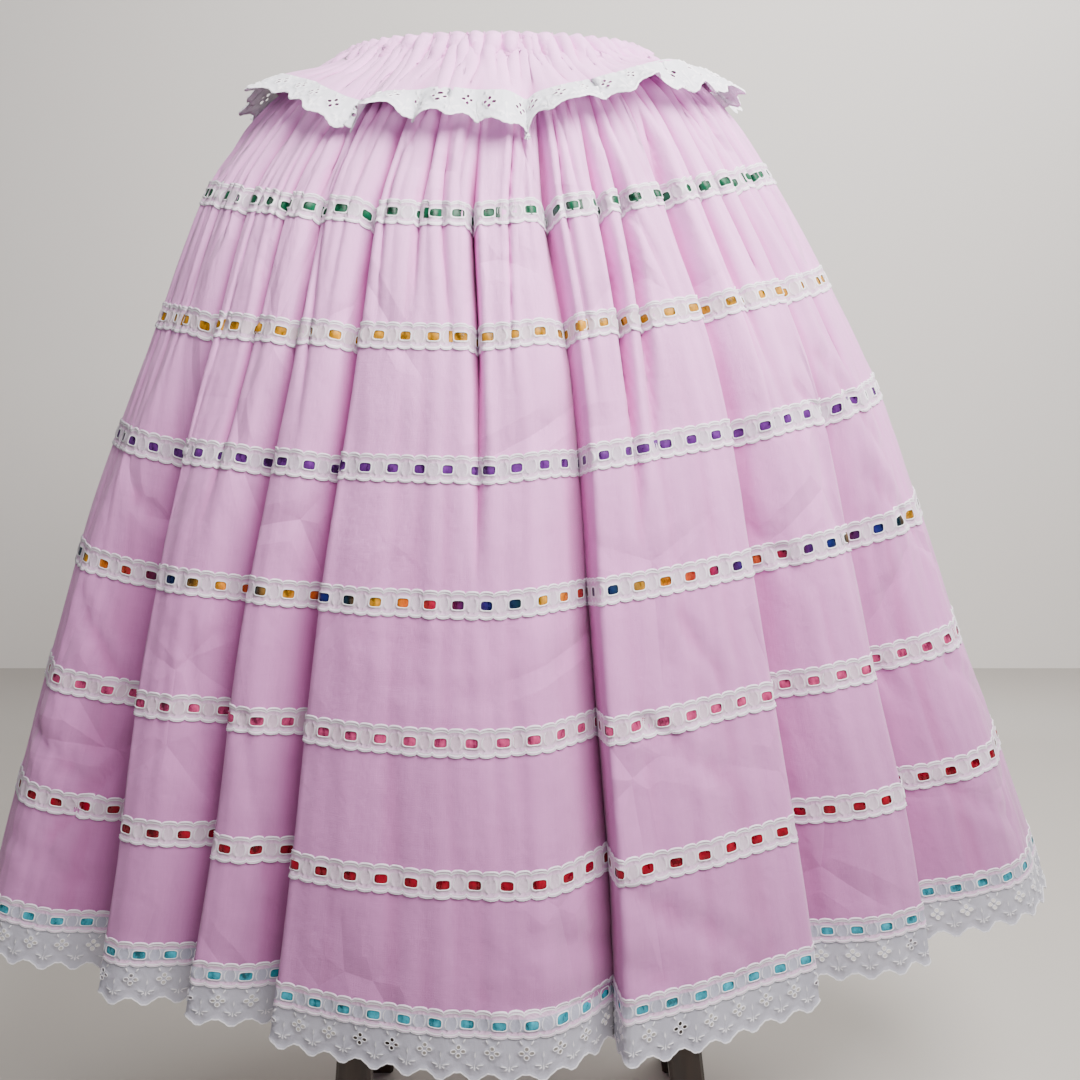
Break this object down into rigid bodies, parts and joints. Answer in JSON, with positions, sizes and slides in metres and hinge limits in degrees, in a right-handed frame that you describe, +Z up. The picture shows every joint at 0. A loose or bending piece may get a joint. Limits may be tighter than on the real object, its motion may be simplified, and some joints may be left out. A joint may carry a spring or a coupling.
{
  "type": "gathered folk skirt on a wooden stand",
  "caption": "Full gathered folk skirt with a lace-edged peplum, rows of ribbon-threaded beading lace and a scalloped eyelet hem, filled out on a plain four-legged wooden stand.",
  "frame": {"origin": "on the floor under the middle of the object's bounding box", "axes": "+Z up, the front of the skirt faces -Y, +X to the viewer's right"},
  "size_m": [1.0473, 0.5086, 1.1016],
  "materials": {
    "cotton": "plain woven pastel pink cotton, matt, with fine slubs and soft creases",
    "lace": "white cotton eyelet edging with satin stitched scallops",
    "wood": "dark brown stained wood, satin varnish",
    "ribbon_green": "green satin ribbon in white beading lace",
    "ribbon_gold": "golden yellow satin ribbon in white beading lace",
    "ribbon_purple": "purple satin ribbon in white beading lace",
    "ribbon_multicolour": "satin ribbon that runs through gold, orange, crimson, magenta, purple, navy and dark teal, in white beading lace",
    "ribbon_rose": "rose pink satin ribbon in white beading lace",
    "ribbon_red": "red satin ribbon in white beading lace",
    "ribbon_turquoise": "turquoise satin ribbon in white beading lace"
  },
  "bodies": {
    "root": {"waist_casing": "cotton", "peplum": "cotton", "peplum_lace": "lace", "skirt_front": "cotton", "skirt_back": "cotton", "trim_green": "ribbon_green", "trim_gold": "ribbon_gold", "trim_purple": "ribbon_purple", "trim_multicolour": "ribbon_multicolour", "trim_rose": "ribbon_rose", "trim_red": "ribbon_red", "trim_turquoise": "ribbon_turquoise", "hem_lace": "lace", "stand_top": "wood", "leg_front_left": "wood", "leg_front_right": "wood", "leg_back_left": "wood", "leg_back_right": "wood", "stretcher_front": "wood", "stretcher_back": "wood", "stretcher_left": "wood", "stretcher_right": "wood"}
  },
  "joints": []
}
